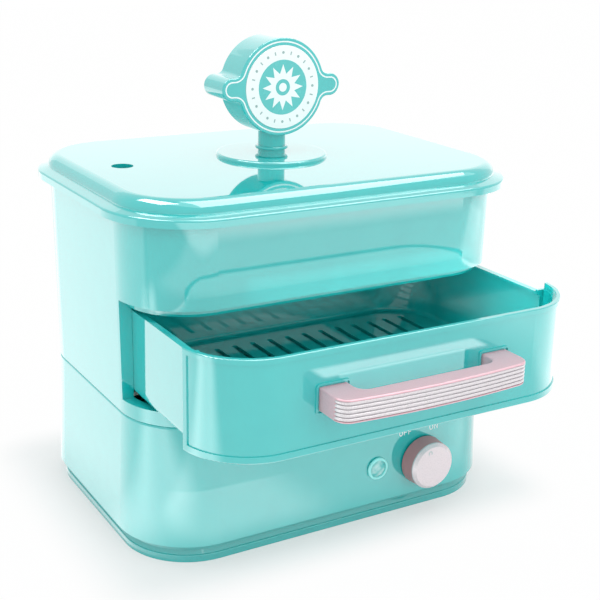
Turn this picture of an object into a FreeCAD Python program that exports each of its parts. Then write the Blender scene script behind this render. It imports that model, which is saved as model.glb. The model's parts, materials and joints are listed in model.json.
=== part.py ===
import FreeCAD, Part
import math
import os

V = FreeCAD.Vector

# Body outline seen from above, at the seam between the base and the steam housing
body_half_width = 135.6
body_half_depth = 99.2
body_corner = 46.8
base_flare = 3.1
housing_flare = 1.5

# Heights of the body, from the table upwards
foot_lip_height = 5.0
foot_gap = 7.8
base_wall_height = 81.2
sill_height = 9.8
opening_height = 65.9
band_height = 51.3

# Moulded walls, running gaps and the overrun of cuts
wall = 2.6
seat_gap = 0.3
slide_gap = 0.8
fit_gap = 0.05
edge_round = 0.8
seam_round = 1.6
cut_over = 20.0

# Base: foot, deck, posts and the upstand that centres the housing
foot_inset = 3.6
foot_cove = 2.6
foot_cove_rise = 2.5
foot_land = 9.0
deck_drop = 3.0
deck_ledge = 1.6
deck_ledge_height = 3.0
upstand_rise = 4.5
upstand_wall = 2.0
post_radius = 4.5
post_from_side = 26.0
post_from_front = 26.0
vent_slots = 7
vent_pitch = 12.0
vent_width = 4.0
vent_length = 46.0

# Rubber feet and the screws of the bottom cover
pad_radius = 8.0
pad_from_side = 40.0
pad_from_front = 26.0
screw_radius = 1.9
screw_head_radius = 3.6
screw_head_height = 2.2
screw_length = 14.0

# Water basin, heating plate and what is clamped under it
basin_from_side = 29.6
basin_from_front = 29.2
basin_corner = 22.0
basin_flange = 6.0
basin_flange_thick = 1.6
basin_depth = 33.0
basin_wall = 2.2
plate_boss_radius = 43.5
plate_overhang = 7.5
plate_thick = 3.0
plate_boss_depth = 8.0
seal_thick = 1.5
seal_width = 6.0
ring_nut_thick = 3.0
ring_nut_width = 8.5
ring_nut_notch = 6.0
ring_nut_notch_depth = 4.0
element_radius = 34.0
element_width = 7.0
element_height = 6.5
element_gap_angle = 50.0
terminal_angle = 7.0
terminal_radius = 2.0
terminal_length = 9.0
thermostat_radius = 8.5
thermostat_height = 8.5
strap_half_length = 20.0
strap_width = 8.0
strap_thick = 1.0
strap_screw_at = 16.0
fuse_radius = 2.2
fuse_length = 14.0
fuse_offset = 19.0

# Rotary switch and its knob
knob_from_side = 69.0
knob_rise = 23.8
knob_radius = 17.5
knob_taper = 0.8
knob_skirt_depth = 10.4
knob_face_depth = 3.0
knob_face_chamfer = 2.0
knob_wall = 2.2
knob_stand_off = 0.5
knob_hub_radius = 5.4
shaft_radius = 3.0
shaft_tail = 6.0
bush_radius = 4.7
bush_length = 9.0
nut_radius = 7.0
nut_thick = 2.0
switch_half_width = 14.0
switch_half_height = 12.0
switch_depth = 24.0

# Indicator lamp
lamp_from_knob = 37.2
lamp_above_knob = 1.1
lamp_bezel_radius = 8.1
lamp_bezel_proud = 1.3
lamp_bezel_wall = 1.6
lamp_barrel_radius = 6.9
lamp_barrel_length = 12.0
lamp_dome_rise = 1.6
neon_radius = 2.9
neon_length = 13.0

# Cord outlet, terminal block and internal wires
outlet_from_side = 63.6
outlet_rise = 19.2
outlet_bore = 3.6
outlet_barrel_radius = 6.0
outlet_flange_radius = 8.5
outlet_flange_thick = 2.0
outlet_inner_length = 9.0
outlet_panel_half_width = 17.0
outlet_panel_top = 14.0
outlet_panel_flange = 3.0
outlet_panel_back = 1.6
block_from_outlet = 20.0
block_from_rear = 41.2
block_half_width = 15.0
block_half_depth = 8.0
block_height = 14.0
wire_radius = 1.1
wire_rise = 6.0

# Drip tray
drip_overhang = 2.0
drip_wall = 1.8
drip_height = 8.0
drip_hole_radius = 3.2
drip_hole_columns = 11
drip_hole_rows = 7

# Opening of the housing: a rebate all round, with a lip under its head
jamb_from_centre = 55.5
rebate = 7.8
lip_drop = 5.2
lip_thick = 2.0

# Runners of the drawer
runner_ledge = 13.0
runner_leg = 9.0
runner_thick = 2.3
runner_screws_each = 3

# Drawer: a wrapped front panel over a tub
panel_inset = 2.4
panel_thick = 3.0
panel_bottom_gap = 0.5
panel_top_gap = 2.8
panel_jamb_gap = 1.4
panel_border = 4.4
panel_top_border = 3.4
panel_groove = 0.8
tub_inset = 8.3
tub_wall = 2.2
tub_floor = 2.2
tub_above_sill = 2.2
tub_below_head = 7.8
tub_rim_width = 4.2
tub_rim_thick = 1.8
tub_front_rise = 1.6
tub_corner_round = 4.0
tub_slot_columns = 16
tub_slot_rows = 3
tub_slot_width = 4.0
tub_slot_length = 42.0
tub_slot_margin = 14.0
drawer_open = 83.0

# Drawer handle: a bowed bar on two feet
handle_half_width = 67.0
handle_height = 14.4
handle_above_sill = 33.4
handle_foot_width = 18.5
handle_corner_depth = 23.5
handle_bow_depth = 27.4
handle_corner = 9.0
handle_bar_back = 14.2
handle_inner_round = 7.0
handle_round = 1.0
trim_thick = 2.0
trim_start = 16.5
trim_base_share = 0.4
rib_count = 5
rib_gap = 0.5
rib_round_share = 0.4
escutcheon_border = 2.2
escutcheon_proud = 1.0
escutcheon_line = 1.1

# Bun tray
tray_rim_thick = 2.0
tray_depth = 46.0
tray_draft = 3.6
tray_wall = 2.0
tray_slot_columns = 13
tray_slot_rows = 3
tray_slot_width = 5.0
tray_slot_length = 40.0
tray_slot_margin = 16.0

# Lid
lid_over_side = 7.9
lid_over_front = 9.7
lid_rim_height = 5.0
lid_flange = 7.0
lid_shoulder_rise = 2.0
lid_dome_rise = 10.0
lid_dome_round = 7.8
lid_plug_depth = 8.0
lid_plug_wall = 2.0
lid_rim_round = 1.4
vent_radius = 7.2
vent_from_side = 38.9
vent_behind_middle = 8.0
platform_radius = 38.0
platform_rise = 2.5
platform_round = 1.6

# Sign knob of the lid
sign_radius = 32.3
sign_half_thick = 14.0
sign_gap = 13.2
lobe_radius = 7.4
lobe_reach = 44.5
lobe_fillet = 5.0
sign_round = 0.8
badge_radius = 27.5
badge_thick = 1.0
badge_sunk = 0.6
stem_radius = 9.4
collar_radius = 11.3
collar_thick = 2.2
collar_rise = 2.6
knob_screw_radius = 2.5
knob_screw_length = 34.0
knob_screw_head_radius = 4.6
knob_screw_head_height = 3.0
washer_radius = 8.0
washer_thick = 1.2

# Heights and places that follow from the sizes above
base_wall_z = foot_lip_height + foot_gap
seam_z = base_wall_z + base_wall_height
sill_z = seam_z + sill_height
head_z = sill_z + opening_height
housing_top = head_z + band_height
deck_z = seam_z - deck_drop
cover_floor_z = foot_lip_height + wall / 2
basin_floor_z = deck_z - basin_depth
plate_z = basin_floor_z + seal_thick
boss_z = plate_z - plate_boss_depth + plate_thick
plate_radius = plate_boss_radius + plate_overhang
ring_nut_radius = plate_boss_radius + ring_nut_width
tub_floor_z = sill_z + tub_above_sill
tub_top_z = head_z - tub_below_head
tray_floor_z = housing_top - tray_depth
lid_z = housing_top + tray_rim_thick
lid_top_z = lid_z + lid_rim_height + lid_dome_rise
platform_z = lid_top_z + platform_rise
sign_z = platform_z + sign_gap + sign_radius
jamb_y = -jamb_from_centre
drawer_mid_z = (sill_z + head_z) / 2
basin_half_width = body_half_width - basin_from_side
basin_half_depth = body_half_depth - basin_from_front
knob_x = body_half_width - knob_from_side
knob_z = base_wall_z + knob_rise
lamp_x = knob_x - lamp_from_knob
lamp_z = knob_z + lamp_above_knob
outlet_x = outlet_from_side - body_half_width
outlet_z = base_wall_z + outlet_rise
block_x = outlet_x + block_from_outlet
block_y = body_half_depth - block_from_rear
lid_half_width = body_half_width + housing_flare + lid_over_side
lid_half_depth = body_half_depth + lid_over_front
lid_corner = body_corner + (lid_over_side + lid_over_front) / 2


def outline(z, inset):
    """Half width, half depth and corner radius of the body at height z, drawn in by inset."""
    if z < seam_z:
        out = base_flare * (seam_z - z) / base_wall_height
        sizes = (body_half_width + out, body_half_depth + out, body_corner + out)
    else:
        out = housing_flare * (z - seam_z) / (housing_top - seam_z)
        sizes = (body_half_width + out, body_half_depth, body_corner)
    return [size - inset for size in sizes]


def front_face(z, inset=0):
    """Y of the body's front face at height z."""
    return -outline(z, inset)[1]


def rounded_wire(half_x, half_y, radius, z):
    """A rounded rectangle about the Z axis at height z."""
    ends = []
    edges = []
    for quarter in range(4):
        centre_x = (half_x - radius) * (1 if quarter in (0, 3) else -1)
        centre_y = (half_y - radius) * (1 if quarter in (0, 1) else -1)
        arc = []
        for step in range(3):
            angle = math.radians(90 * quarter + 45 * step)
            arc.append(V(centre_x + radius * math.cos(angle), centre_y + radius * math.sin(angle), z))
        if ends:
            edges.append(Part.LineSegment(ends[-1], arc[0]).toShape())
        ends += [arc[0], arc[2]]
        edges.append(Part.Arc(*arc).toShape())
    edges.append(Part.LineSegment(ends[-1], ends[0]).toShape())
    return Part.Wire(edges)


def rounded_block(half_x, half_y, radius, z0, z1):
    """An upright prism on a rounded rectangle."""
    face = Part.Face(rounded_wire(half_x, half_y, radius, z0))
    return face.extrude(V(0, 0, z1 - z0))


def body_block(z0, z1, inset0, inset1=None):
    """A solid with the body's outline from z0 to z1, drawn in by inset0 below and inset1 above."""
    inset1 = inset0 if inset1 is None else inset1
    wires = [rounded_wire(*outline(z0, inset0), z0), rounded_wire(*outline(z1, inset1), z1)]
    return Part.makeLoft(wires, True, True)


def upright_block(z0, z1, inset, at_z):
    """An upright solid on the outline that the body has at height at_z."""
    return rounded_block(*outline(at_z, inset), z0, z1)


def box(x0, x1, y0, y1, z0, z1):
    """A box between two corners."""
    return Part.makeBox(x1 - x0, y1 - y0, z1 - z0, V(x0, y0, z0))


def post(x, y, radius, z0, z1):
    """An upright cylinder."""
    return Part.makeCylinder(radius, z1 - z0, V(x, y, z0))


def pin_y(x, z, radius, y0, y1):
    """A cylinder along Y."""
    return Part.makeCylinder(radius, y1 - y0, V(x, y0, z), V(0, 1, 0))


def union(shapes):
    """All shapes fused into one, with seams between coplanar faces removed."""
    first, rest = shapes[0], shapes[1:]
    return first.fuse(rest).removeSplitter() if rest else first


def corners(x, y):
    """The four places at plus and minus x and y."""
    return [(sx * x, sy * y) for sx in (-1, 1) for sy in (-1, 1)]


def edges_at(shape, z):
    """Edges of a shape that lie flat at height z."""
    near = fit_gap / 10
    found = []
    for edge in shape.Edges:
        low, high = edge.BoundBox.ZMin, edge.BoundBox.ZMax
        if abs(low - z) < near and abs(high - z) < near:
            found.append(edge)
    return found


def slot(x, y, width, length, z0, z1):
    """An upright slot cutter with round ends, long in Y."""
    flat = length - width
    parts = [box(x - width / 2, x + width / 2, y - flat / 2, y + flat / 2, z0, z1)]
    parts += [post(x, y + side * flat / 2, width / 2, z0, z1) for side in (-1, 1)]
    return union(parts)


def slot_grid(half_x, half_y, columns, rows, width, length, z0, z1):
    """Rows of slots spread evenly inside a rectangle."""
    pitch_x = 2 * half_x / columns
    pitch_y = 2 * half_y / rows
    cutters = []
    for column in range(columns):
        for row in range(rows):
            x = -half_x + (column + 0.5) * pitch_x
            y = -half_y + (row + 0.5) * pitch_y
            cutters.append(slot(x, y, width, min(length, pitch_y - width), z0, z1))
    return Part.makeCompound(cutters)


def save(name, *solids):
    """Writes one sub-part, which may be a group of separate solids."""
    shape = solids[0] if len(solids) == 1 else Part.makeCompound(list(solids))
    loose = shape.Solids
    if len(solids) == 1 and len(loose) == 1:
        shape = loose[0]
    shape.exportStep("parts/" + name + ".step")
    state = "ok" if shape.isValid() else "NOT VALID"
    print(f"{name}: {len(loose)} solid, {shape.Volume / 1000:.2f} cm3, {state}")


def post_places():
    """Places of the four screw posts of the base."""
    half_x, half_y, _ = outline(base_wall_z, 0)
    return corners(half_x - post_from_side, half_y - post_from_front)


def outlet_window(gap):
    """The notch in the rear wall that the cord outlet's panel fills, made smaller all round by gap."""
    half = outlet_panel_half_width - gap
    return box(outlet_x - half, outlet_x + half, block_y, body_half_depth + cut_over,
               base_wall_z - cut_over, outlet_z + outlet_panel_top - gap)


def base_wall():
    """The base's whole wall with its bottom flange and the ledge that carries the deck."""
    shell = body_block(base_wall_z, seam_z, 0)
    shell = shell.makeFillet(seam_round, edges_at(shell, seam_z))
    ledge_top = deck_z - wall
    ledge_low = ledge_top - deck_ledge_height
    room = body_block(base_wall_z + wall, ledge_low, wall)
    neck = body_block(ledge_low, ledge_top, wall, wall + deck_ledge)
    mouth = upright_block(base_wall_z - cut_over, base_wall_z + wall, foot_land, base_wall_z)
    recess = body_block(ledge_top, seam_z + cut_over, wall)
    for cutter in (room, neck, mouth, recess):
        shell = shell.cut(cutter)
    return shell


def base_housing():
    """The base's wall with its holes for the switch and the lamp and the notch for the cord outlet."""
    shell = base_wall().cut(outlet_window(0))
    front = front_face(base_wall_z) - wall
    shell = shell.cut(pin_y(knob_x, knob_z, bush_radius + fit_gap, front, front + cut_over))
    shell = shell.cut(pin_y(lamp_x, lamp_z, lamp_barrel_radius + fit_gap, front, front + cut_over))
    save("base_housing", shell)


def base_deck():
    """The deck with the basin's well, the screw posts below it and the upstand that centres the housing."""
    plate = upright_block(deck_z - wall, deck_z, wall + fit_gap, seam_z)
    ring = upright_block(deck_z, deck_z + upstand_rise, wall + fit_gap + seat_gap, seam_z)
    bore = upright_block(deck_z, deck_z + upstand_rise, wall + fit_gap + seat_gap + upstand_wall, seam_z)
    posts = [post(x, y, post_radius, cover_floor_z, deck_z - wall / 2) for x, y in post_places()]
    deck = union([plate, ring.cut(bore)] + posts)
    deck = deck.cut(rounded_block(basin_half_width, basin_half_depth, basin_corner,
                                  deck_z - cut_over, deck_z + cut_over))
    for x, y in post_places():
        top = cover_floor_z - wall + screw_length + edge_round
        deck = deck.cut(post(x, y, screw_radius + fit_gap, cover_floor_z - wall, top))
    save("base_deck", deck)


def base_bottom_cover():
    """The closing cover: foot lip, cove above it, floor, vents and screw holes."""
    lip = upright_block(0, foot_lip_height, foot_inset, base_wall_z)
    lip = lip.makeFillet(edge_round, edges_at(lip, foot_lip_height))
    neck_inset = foot_inset + foot_cove
    low = rounded_wire(*outline(base_wall_z, foot_inset + edge_round), foot_lip_height)
    high = rounded_wire(*outline(base_wall_z, neck_inset), foot_lip_height + foot_cove_rise)
    cove = Part.makeLoft([low, high], True, True)
    neck = upright_block(foot_lip_height + foot_cove_rise, base_wall_z, neck_inset, base_wall_z)
    cover = union([lip, cove, neck])
    inside = upright_block(cover_floor_z, base_wall_z + cut_over, neck_inset + wall, base_wall_z)
    under = upright_block(-cut_over, cover_floor_z - wall, foot_land + wall, base_wall_z)
    cover = cover.cut(inside).cut(under)
    z0 = cover_floor_z - cut_over
    z1 = cover_floor_z + cut_over
    for x, y in post_places():
        cover = cover.cut(post(x, y, screw_radius + fit_gap, z0, z1))
    for index in range(vent_slots):
        x = (index - (vent_slots - 1) / 2) * vent_pitch
        cover = cover.cut(slot(x, 0, vent_width, vent_length, z0, z1))
    save("base_bottom_cover", cover)


def rubber_feet():
    """Four pads under the bottom cover, level with the foot lip."""
    half_x, half_y, _ = outline(base_wall_z, 0)
    places = corners(half_x - pad_from_side, half_y - pad_from_front)
    save("rubber_feet", *[post(x, y, pad_radius, 0, cover_floor_z - wall) for x, y in places])


def screw(x, y, z, radius, length, head_radius, head_height):
    """A pan-head screw that points up, with the underside of its head at z."""
    head = post(x, y, head_radius, z - head_height, z)
    head = head.makeFillet(head_height / 3, edges_at(head, z - head_height))
    bar = box(x - head_radius * 2 / 3, x + head_radius * 2 / 3, y - radius / 4, y + radius / 4,
              z - head_height, z - head_height / 2)
    return union([head, post(x, y, radius, z, z + length)]).cut(bar)


def bottom_cover_screws():
    """Four screws through the cover into the posts."""
    z = cover_floor_z - wall
    screws = [screw(x, y, z, screw_radius, screw_length, screw_head_radius, screw_head_height)
              for x, y in post_places()]
    save("bottom_cover_screws", *screws)


def water_basin():
    """The water tub that hangs in the deck by its flange."""
    half_x, half_y, radius = basin_half_width - seat_gap, basin_half_depth - seat_gap, basin_corner
    flange = rounded_block(half_x + basin_flange, half_y + basin_flange, radius + basin_flange,
                           deck_z, deck_z + basin_flange_thick)
    bottom = basin_floor_z - basin_wall
    tub = rounded_block(half_x, half_y, radius, bottom, deck_z)
    tub = tub.makeFillet(basin_wall, edges_at(tub, bottom))
    room = rounded_block(half_x - basin_wall, half_y - basin_wall, radius - basin_wall,
                         basin_floor_z, deck_z + cut_over)
    hole = post(0, 0, plate_boss_radius + seat_gap, bottom - cut_over, basin_floor_z + cut_over)
    save("water_basin", union([flange, tub]).cut(room).cut(hole))


def heating_group():
    """Seal, heating plate, ring nut, element, thermostat and thermal fuse."""
    seal_inner = plate_boss_radius + seat_gap
    seal = post(0, 0, seal_inner + seal_width, basin_floor_z, plate_z)
    save("basin_seal", seal.cut(post(0, 0, seal_inner, basin_floor_z, plate_z)))

    top = post(0, 0, plate_radius, plate_z, plate_z + plate_thick)
    top = top.makeFillet(edge_round, edges_at(top, plate_z + plate_thick))
    boss = post(0, 0, plate_boss_radius, boss_z, plate_z)
    plate = union([top, boss])
    for side in (-1, 1):
        plate = plate.cut(post(side * strap_screw_at, 0, terminal_radius + fit_gap, boss_z, plate_z))
    save("heating_plate", plate)

    nut_top = basin_floor_z - basin_wall
    nut = post(0, 0, ring_nut_radius, nut_top - ring_nut_thick, nut_top)
    nut = nut.cut(post(0, 0, plate_boss_radius + fit_gap, nut_top - ring_nut_thick, nut_top))
    for index in range(4):
        notch = box(ring_nut_radius - ring_nut_notch_depth, ring_nut_radius + cut_over, -ring_nut_notch / 2,
                    ring_nut_notch / 2, nut_top - ring_nut_thick, nut_top)
        nut = nut.cut(notch.rotate(V(0, 0, 0), V(0, 0, 1), 90 * index))
    save("plate_ring_nut", nut)

    section = Part.Face(Part.makePolygon([
        V(element_radius - element_width / 2, 0, boss_z),
        V(element_radius + element_width / 2, 0, boss_z),
        V(element_radius + element_width / 4, 0, boss_z - element_height),
        V(element_radius - element_width / 4, 0, boss_z - element_height),
        V(element_radius - element_width / 2, 0, boss_z)]))
    coil = section.revolve(V(0, 0, 0), V(0, 0, 1), 360 - element_gap_angle)
    coil = coil.rotate(V(0, 0, 0), V(0, 0, 1), 90 + element_gap_angle / 2)
    save("heating_element", coil)

    tips = []
    for side in (-1, 1):
        angle = math.radians(90 + side * (element_gap_angle / 2 + terminal_angle))
        x, y = element_radius * math.cos(angle), element_radius * math.sin(angle)
        low = boss_z - element_height
        barrel = post(x, y, terminal_radius * 0.8, low - terminal_length / 2, low)
        blade = box(x - terminal_radius / 4, x + terminal_radius / 4, y - terminal_radius * 1.5,
                    y + terminal_radius * 1.5, low - terminal_length, low - terminal_length / 2)
        tips.append(union([barrel, blade]))
    save("element_terminals", *tips)

    can = post(0, 0, thermostat_radius, boss_z - thermostat_height, boss_z)
    can = can.makeFillet(edge_round, edges_at(can, boss_z - thermostat_height))
    save("thermostat", can)

    low = boss_z - thermostat_height
    strap = box(-strap_half_length, strap_half_length, -strap_width / 2, strap_width / 2,
                low - strap_thick, low)
    feet = [post(side * strap_screw_at, 0, strap_width / 2 - edge_round, low, boss_z) for side in (-1, 1)]
    strap = union([strap] + feet)
    holes = [post(side * strap_screw_at, 0, terminal_radius + fit_gap, low - cut_over, boss_z)
             for side in (-1, 1)]
    save("thermostat_bracket", strap.cut(holes[0]).cut(holes[1]))
    reach = thermostat_height + strap_thick + plate_boss_depth / 3
    save("bracket_screws", *[
        screw(side * strap_screw_at, 0, low - strap_thick, terminal_radius, reach,
              screw_head_radius, screw_head_height) for side in (-1, 1)])

    start = V(-fuse_length / 2, -fuse_offset, boss_z - fuse_radius)
    save("thermal_fuse", Part.makeCylinder(fuse_radius, fuse_length, start, V(1, 0, 0)))


def switch_group():
    """Rotary switch behind the front wall, its nut, shaft and knob."""
    back = front_face(knob_z + switch_half_height, wall)
    body = box(knob_x - switch_half_width, knob_x + switch_half_width, back, back + switch_depth,
               knob_z - switch_half_height, knob_z + switch_half_height)
    body = body.makeFillet(edge_round, body.Edges)
    bush = pin_y(knob_x, knob_z, bush_radius, back - bush_length, back)
    knob_back = front_face(knob_z - knob_radius) - knob_stand_off
    knob_front = knob_back - knob_skirt_depth
    shaft_start = back + shaft_tail
    bore = pin_y(knob_x, knob_z, shaft_radius + fit_gap, back - cut_over, shaft_start + seat_gap)
    tabs = []
    for x in (-switch_half_width / 2, switch_half_width / 2):
        tab = box(knob_x + x - strap_thick / 2, knob_x + x + strap_thick / 2, back + switch_depth - wall,
                  back + switch_depth + terminal_length, knob_z - strap_width / 2, knob_z + strap_width / 2)
        tabs.append(tab)
    save("rotary_switch", union([body, bush] + tabs).cut(bore))

    wall_front = front_face(knob_z - nut_radius)
    points = [V(knob_x + nut_radius * math.cos(math.radians(60 * n)), wall_front,
                knob_z + nut_radius * math.sin(math.radians(60 * n))) for n in range(7)]
    nut = Part.Face(Part.makePolygon(points)).extrude(V(0, -nut_thick, 0))
    hole = pin_y(knob_x, knob_z, bush_radius + fit_gap, wall_front - cut_over, wall_front + cut_over)
    save("switch_nut", nut.cut(hole))

    shaft = pin_y(knob_x, knob_z, shaft_radius, knob_front + wall / 2, shaft_start)
    save("switch_shaft", shaft)

    face_radius = knob_radius - knob_taper
    skirt = Part.makeCone(face_radius, knob_radius, knob_skirt_depth, V(knob_x, knob_front, knob_z),
                          V(0, 1, 0))
    room = pin_y(knob_x, knob_z, face_radius - knob_wall, knob_front + knob_wall, knob_back + cut_over)
    hub_back = back - bush_length - seat_gap
    hub = pin_y(knob_x, knob_z, knob_hub_radius, knob_front + knob_wall / 2, hub_back)
    knob = union([skirt.cut(room), hub])
    save("control_knob", knob.cut(pin_y(knob_x, knob_z, shaft_radius, knob_front + wall / 2, knob_back)))

    face = pin_y(knob_x, knob_z, face_radius, knob_front - knob_face_depth, knob_front)
    rim = [edge for edge in face.Edges
           if abs(edge.BoundBox.YMax - knob_front + knob_face_depth) < fit_gap
           and edge.BoundBox.XLength > knob_radius]
    save("knob_face_disc", face.makeChamfer(knob_face_chamfer, rim))


def lamp_group():
    """Bezel, lens and neon of the indicator lamp."""
    wall_front = front_face(lamp_z - lamp_bezel_radius)
    tip = wall_front - lamp_bezel_proud
    ring = pin_y(lamp_x, lamp_z, lamp_bezel_radius, tip, wall_front)
    rim = [edge for edge in ring.Edges
           if abs(edge.BoundBox.YMax - tip) < fit_gap and edge.BoundBox.XLength > lamp_bezel_radius]
    ring = ring.makeFillet(lamp_bezel_proud * 0.7, rim)
    barrel = pin_y(lamp_x, lamp_z, lamp_barrel_radius, wall_front, wall_front + lamp_barrel_length)
    lens_radius = lamp_barrel_radius - lamp_bezel_wall / 2
    hole = pin_y(lamp_x, lamp_z, lens_radius + fit_gap, tip - cut_over, wall_front + cut_over)
    save("lamp_bezel", union([ring, barrel]).cut(hole))

    ball_radius = (lens_radius ** 2 + lamp_dome_rise ** 2) / (2 * lamp_dome_rise)
    ball = Part.makeSphere(ball_radius, V(lamp_x, tip - lamp_dome_rise / 4 + ball_radius, lamp_z))
    core = pin_y(lamp_x, lamp_z, lens_radius, tip - lamp_dome_rise / 4, wall_front + lamp_barrel_length)
    lens = core.common(ball.fuse(pin_y(lamp_x, lamp_z, lens_radius * 2, tip + lamp_dome_rise,
                                       wall_front + cut_over)))
    pocket = pin_y(lamp_x, lamp_z, neon_radius + seat_gap, tip + lamp_dome_rise + wall / 2,
                   wall_front + cut_over)
    save("lamp_lens", lens.cut(pocket))

    glass = pin_y(lamp_x, lamp_z, neon_radius, tip + lamp_dome_rise + wall / 2 + seat_gap,
                  tip + lamp_dome_rise + wall / 2 + neon_length)
    save("neon_lamp", glass)


def tube(points, radius):
    """A round tube on straight runs joined by tangent arcs."""
    edges = []
    start = points[0]
    for before, point, after in zip(points, points[1:], points[2:]):
        into, out = (before - point), (after - point)
        reach = 0.45 * min(into.Length, out.Length)
        a = point + into * (reach / into.Length)
        b = point + out * (reach / out.Length)
        turn = math.pi - into.getAngle(out)
        bend = reach / math.tan(turn / 2)
        inward = (a + b) * 0.5 - point
        inward.normalize()
        middle = point + inward * (bend / math.cos(turn / 2) - bend)
        edges.append(Part.LineSegment(start, a).toShape())
        edges.append(Part.Arc(a, middle, b).toShape())
        start = b
    edges.append(Part.LineSegment(start, points[-1]).toShape())
    path = Part.Wire(edges)
    along = points[1] - points[0]
    ring = Part.Wire(Part.makeCircle(radius, points[0], along))
    return path.makePipeShell([ring], True, False)


def outlet_group():
    """Cord outlet bush in the rear wall, terminal block and the wires inside the base."""
    rear = -front_face(outlet_z - outlet_flange_radius)
    flange = pin_y(outlet_x, outlet_z, outlet_flange_radius, rear, rear + outlet_flange_thick)
    inner_end = -front_face(outlet_z) - wall - outlet_inner_length
    barrel = pin_y(outlet_x, outlet_z, outlet_barrel_radius, inner_end, rear)
    bore = pin_y(outlet_x, outlet_z, outlet_bore, inner_end - cut_over, rear + cut_over)
    save("cord_outlet_bush", union([flange, barrel]).cut(bore))

    low = base_wall_z + wall + fit_gap
    high = outlet_z + outlet_panel_top + outlet_panel_flange
    behind = body_block(low, high, wall).cut(body_block(low, high, wall + outlet_panel_back))
    reach = outlet_panel_half_width + outlet_panel_flange
    behind = behind.common(box(outlet_x - reach, outlet_x + reach, block_y, body_half_depth + cut_over,
                               low, high))
    panel = union([base_wall().common(outlet_window(fit_gap)), behind])
    save("cord_outlet_panel", panel.cut(pin_y(outlet_x, outlet_z, outlet_barrel_radius + fit_gap,
                                              inner_end, rear + cut_over)))

    floor = cover_floor_z
    block = box(block_x - block_half_width, block_x + block_half_width, block_y - block_half_depth,
                block_y + block_half_depth, floor, floor + block_height)
    pole = block_half_width * 2 / 3
    for n in (-1, 0, 1):
        block = block.cut(pin_y(block_x + n * pole, floor + block_height / 2, wire_radius * 1.5,
                                block_y - cut_over, block_y + cut_over))
        block = block.cut(post(block_x + n * pole, block_y, wire_radius * 2, floor + block_height * 2 / 3,
                               floor + cut_over))
    save("terminal_block", block)

    low = floor + wire_rise
    entry_y = block_y - block_half_depth
    entry_z = floor + block_height / 2
    back = front_face(knob_z + switch_half_height, wall) + switch_depth + terminal_length
    left = knob_x - switch_half_width / 2
    right = knob_x + switch_half_width / 2
    swing = basin_half_depth / 4
    lamp_back = front_face(lamp_z) + lamp_barrel_length * 1.7
    wires = [
        tube([V(block_x + pole, entry_y, entry_z), V(block_x + pole * 2, entry_y - swing, low),
              V(left - swing, swing / 2, low), V(left, back + swing, knob_z), V(left, back, knob_z)],
             wire_radius),
        tube([V(block_x, entry_y, entry_z), V(block_x, entry_y - swing, low), V(0, -swing, low),
              V(lamp_x - swing / 2, -swing * 3, low * 2), V(lamp_x, -swing * 4.2, lamp_z),
              V(lamp_x, lamp_back, lamp_z)], wire_radius)]
    angle = math.radians(90 - element_gap_angle / 2 - terminal_angle)
    tip = V(element_radius * math.cos(angle), element_radius * math.sin(angle),
            boss_z - element_height - terminal_length)
    wires.append(tube([V(right, back, knob_z), V(right, back + swing, knob_z),
                       V(right - swing, swing, low * 2), V(tip.x + swing / 2, tip.y, low * 2),
                       V(tip.x, tip.y, tip.z - wire_rise), tip], wire_radius))
    other = V(-tip.x, tip.y, tip.z)
    wires.append(tube([other, V(other.x, other.y, other.z - wire_rise),
                       V(other.x - swing, other.y - wire_rise, low * 1.5),
                       V(block_x - pole, entry_y - swing, entry_z), V(block_x - pole, entry_y, entry_z)],
                      wire_radius))
    save("internal_wires", *wires)


def drip_tray():
    """A shallow tray with steam holes that lies on the basin's flange."""
    z0 = deck_z + basin_flange_thick
    reach = basin_flange + drip_overhang
    half_x, half_y, radius = basin_half_width + reach, basin_half_depth + reach, basin_corner + reach
    tray = rounded_block(half_x, half_y, radius, z0, z0 + drip_height)
    tray = tray.makeFillet(drip_wall, edges_at(tray, z0))
    room = rounded_block(half_x - drip_wall, half_y - drip_wall, radius - drip_wall,
                         z0 + drip_wall, z0 + drip_height + cut_over)
    tray = tray.cut(room)
    pitch_x = 2 * half_x / (drip_hole_columns + 1)
    pitch_y = 2 * half_y / (drip_hole_rows + 1)
    holes = []
    for column in range(drip_hole_columns):
        for row in range(drip_hole_rows):
            x = (column - (drip_hole_columns - 1) / 2) * pitch_x
            y = (row - (drip_hole_rows - 1) / 2) * pitch_y
            holes.append(post(x, y, drip_hole_radius, z0 - cut_over, z0 + cut_over))
    save("drip_tray", tray.cut(Part.makeCompound(holes)))


def steam_housing():
    """The upper housing: drafted wall, front opening with its rebate, head flange and lip."""
    shell = body_block(seam_z, housing_top, 0)
    shell = shell.makeFillet(edge_round, edges_at(shell, seam_z))
    shell = shell.cut(body_block(seam_z - cut_over, housing_top + cut_over, wall))
    reach = lid_half_width + cut_over
    front = front_face(seam_z) - cut_over
    window = box(-reach, reach, front, jamb_y, sill_z, head_z)
    shell = shell.cut(window)
    keep = box(-reach, reach, front, jamb_y + wall, 0, housing_top)

    def frame_ring(z0, z1, outer, inner):
        """Part of a flange that follows the outline round the opening."""
        ring = upright_block(z0, z1, outer, sill_z).cut(upright_block(z0, z1, inner, sill_z))
        return ring.common(keep)

    half_x = outline(sill_z, rebate)[0]
    sill = frame_ring(sill_z - wall, sill_z, wall / 2, rebate)
    head = frame_ring(head_z, head_z + wall, wall / 2, rebate)
    lip = frame_ring(head_z - lip_drop, head_z, rebate - lip_thick, rebate)
    lip = lip.common(box(-reach, reach, front, jamb_y, 0, housing_top))
    jambs = []
    for side in (-1, 1):
        edge = side * half_x
        far = side * outline(sill_z, wall / 2)[0]
        low_x, high_x = min(edge, far), max(edge, far)
        jambs.append(box(low_x, high_x, jamb_y, jamb_y + wall, sill_z - wall, head_z + wall))
    shell = union([shell, sill, head, lip] + jambs)
    save("steam_housing", shell)


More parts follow.
